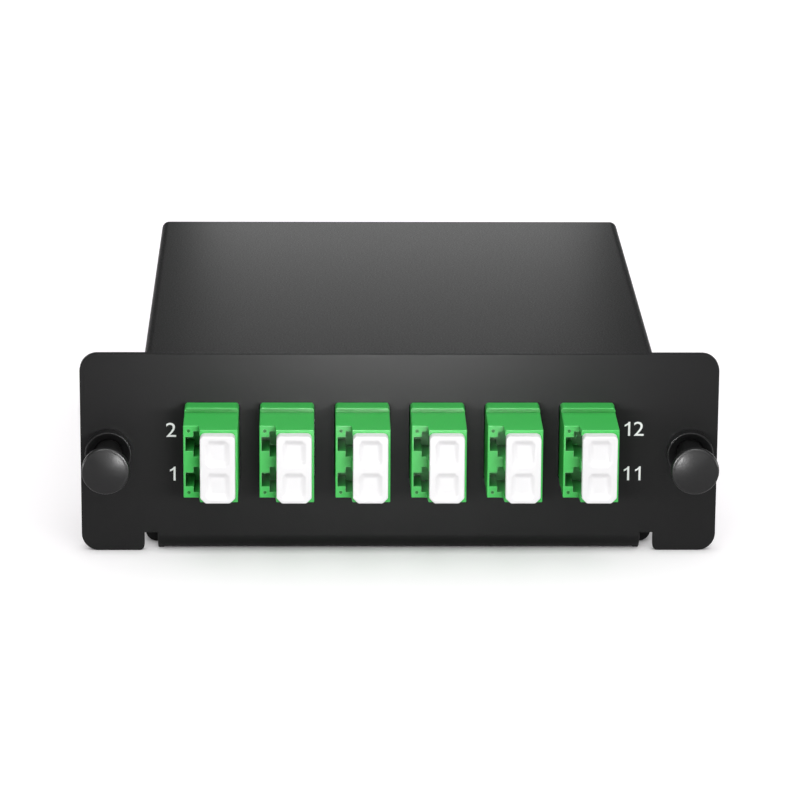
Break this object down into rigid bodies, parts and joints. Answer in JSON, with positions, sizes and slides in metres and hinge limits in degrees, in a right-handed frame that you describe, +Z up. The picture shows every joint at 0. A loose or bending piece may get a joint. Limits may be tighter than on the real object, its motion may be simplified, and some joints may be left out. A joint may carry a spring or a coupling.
{
  "type": "fibre patch cassette",
  "caption": "Black folded-steel fibre cassette: capped green duplex adapters in a front panel with push-pull latches in its ears, a rear multi-fibre port and fibres inside.",
  "frame": {"origin": "centre of the front panel's rear face, the plane that seats on the enclosure", "axes": "+X along the front panel to the viewer's right, +Y into the enclosure (from the ports to the rear), +Z up"},
  "size_m": [0.109, 0.1312, 0.035],
  "materials": {
    "powder_coat": "fine matte powder coat",
    "black_steel": "satin black",
    "adapter_green": "satin moulded plastic",
    "cap_white": "smooth moulded plastic",
    "spring_steel": "rolled spring steel",
    "plug_green": "moulded plastic",
    "lead_yellow": "tight-buffered fibre",
    "ceramic": "polished ceramic",
    "boot_white": "soft moulded",
    "moulding_grey": "moulded plastic",
    "latch_black": "satin moulded plastic"
  },
  "bodies": {
    "cassette": {"base_tray": "powder_coat", "top_cover": "powder_coat", "cover_screws": "black_steel", "lc_adapter_1": "adapter_green", "adapter_clip_1": "spring_steel", "lc_adapter_2": "adapter_green", "adapter_clip_2": "spring_steel", "lc_adapter_3": "adapter_green", "adapter_clip_3": "spring_steel", "lc_adapter_4": "adapter_green", "adapter_clip_4": "spring_steel", "lc_adapter_5": "adapter_green", "adapter_clip_5": "spring_steel", "lc_adapter_6": "adapter_green", "adapter_clip_6": "spring_steel", "lc_plug_1": "plug_green", "fibre_lead_1": "lead_yellow", "lc_plug_2": "plug_green", "fibre_lead_2": "lead_yellow", "lc_plug_3": "plug_green", "fibre_lead_3": "lead_yellow", "lc_plug_4": "plug_green", "fibre_lead_4": "lead_yellow", "lc_plug_5": "plug_green", "fibre_lead_5": "lead_yellow", "lc_plug_6": "plug_green", "fibre_lead_6": "lead_yellow", "lc_plug_7": "plug_green", "fibre_lead_7": "lead_yellow", "lc_plug_8": "plug_green", "fibre_lead_8": "lead_yellow", "lc_plug_9": "plug_green", "fibre_lead_9": "lead_yellow", "lc_plug_10": "plug_green", "fibre_lead_10": "lead_yellow", "lc_plug_11": "plug_green", "fibre_lead_11": "lead_yellow", "lc_plug_12": "plug_green", "fibre_lead_12": "lead_yellow", "ferrules": "ceramic", "alignment_sleeves": "ceramic", "plug_boots": "boot_white", "fan_out_block": "moulding_grey", "fibre_ribbon": "lead_yellow", "ribbon_clips": "moulding_grey", "mpo_adapter": "adapter_green", "mpo_adapter_screws": "black_steel", "mpo_plug": "plug_green", "mpo_plug_boot": "boot_white", "latch_grommet_left": "latch_black", "latch_grommet_right": "latch_black"},
    "latch_left": {"latch_plunger_left": "latch_black"},
    "latch_right": {"latch_plunger_right": "latch_black"},
    "cap_1": {"dust_cap_1": "cap_white"},
    "cap_2": {"dust_cap_2": "cap_white"},
    "cap_3": {"dust_cap_3": "cap_white"},
    "cap_4": {"dust_cap_4": "cap_white"},
    "cap_5": {"dust_cap_5": "cap_white"},
    "cap_6": {"dust_cap_6": "cap_white"},
    "rear_cap": {"mpo_dust_cap": "cap_white"}
  },
  "joints": [
    {"name": "latch_push_left", "type": "slide", "parent": "cassette", "child": "latch_left", "axis": [0, 1, 0], "range_m": [0, 0.0086]},
    {"name": "latch_push_right", "type": "slide", "parent": "cassette", "child": "latch_right", "axis": [0, 1, 0], "range_m": [0, 0.0086]},
    {"name": "cap_pull_1", "type": "slide", "parent": "cassette", "child": "cap_1", "axis": [0, -1, 0], "range_m": [0, 0.012]},
    {"name": "cap_pull_2", "type": "slide", "parent": "cassette", "child": "cap_2", "axis": [0, -1, 0], "range_m": [0, 0.012]},
    {"name": "cap_pull_3", "type": "slide", "parent": "cassette", "child": "cap_3", "axis": [0, -1, 0], "range_m": [0, 0.012]},
    {"name": "cap_pull_4", "type": "slide", "parent": "cassette", "child": "cap_4", "axis": [0, -1, 0], "range_m": [0, 0.012]},
    {"name": "cap_pull_5", "type": "slide", "parent": "cassette", "child": "cap_5", "axis": [0, -1, 0], "range_m": [0, 0.012]},
    {"name": "cap_pull_6", "type": "slide", "parent": "cassette", "child": "cap_6", "axis": [0, -1, 0], "range_m": [0, 0.012]},
    {"name": "rear_cap_pull", "type": "slide", "parent": "cassette", "child": "rear_cap", "axis": [0, 1, 0], "range_m": [0, 0.012]}
  ]
}
